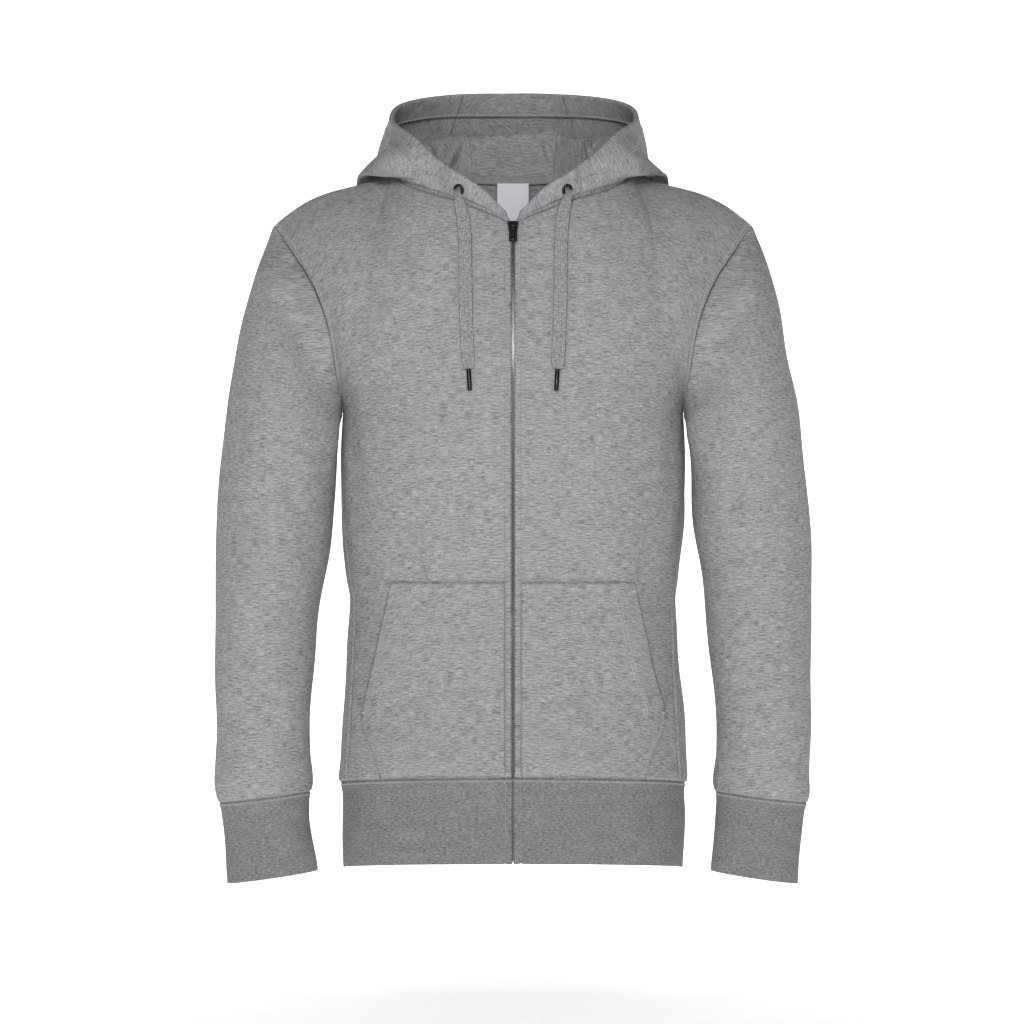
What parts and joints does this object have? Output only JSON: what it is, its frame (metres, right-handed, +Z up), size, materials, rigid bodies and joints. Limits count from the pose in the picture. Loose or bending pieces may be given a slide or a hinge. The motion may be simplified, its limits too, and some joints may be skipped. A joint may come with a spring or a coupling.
{
  "type": "zip up hoodie",
  "caption": "Zip-up fleece hoodie with a lowered three-panel hood, flat drawcords, split kangaroo pocket and ribbed hem and cuffs, filled out as worn.",
  "frame": {"origin": "centre line, level with the top of the shoulders, where the wearer holds it up", "axes": "+Z up; the zip faces -Y; +X is the wearer's left"},
  "size_m": [0.5952, 0.2984, 0.7999],
  "materials": {
    "fleece": "heather grey brushed-back fleece",
    "rib": "heather grey 1x1 rib",
    "cord": "flat woven cord",
    "tape": "plain woven tape",
    "label": "satin label, bare",
    "metal": "black gunmetal plating"
  },
  "bodies": {
    "garment": {"front_left": "fleece", "front_right": "fleece", "back": "fleece", "sleeve_left": "fleece", "sleeve_right": "fleece", "hood_right": "fleece", "hood_centre": "fleece", "hood_left": "fleece", "pocket_left": "fleece", "pocket_right": "fleece", "waistband": "rib", "cuff_left": "rib", "cuff_right": "rib", "zip_chain": "metal", "zip_slider": "metal", "eyelet_left": "metal", "eyelet_right": "metal", "tip_left": "metal", "tip_right": "metal", "zip_tape_left": "tape", "zip_tape_right": "tape", "neck_tape": "tape", "cord_left": "cord", "cord_right": "cord", "neck_label": "label"},
    "pull": {"zip_pull": "metal"}
  },
  "joints": [
    {"name": "pull_swing", "type": "hinge", "parent": "garment", "child": "pull", "pos_m": [0, -0.08732, -0.04482], "axis": [-1, 0, 0], "range_deg": [0, 160]}
  ]
}
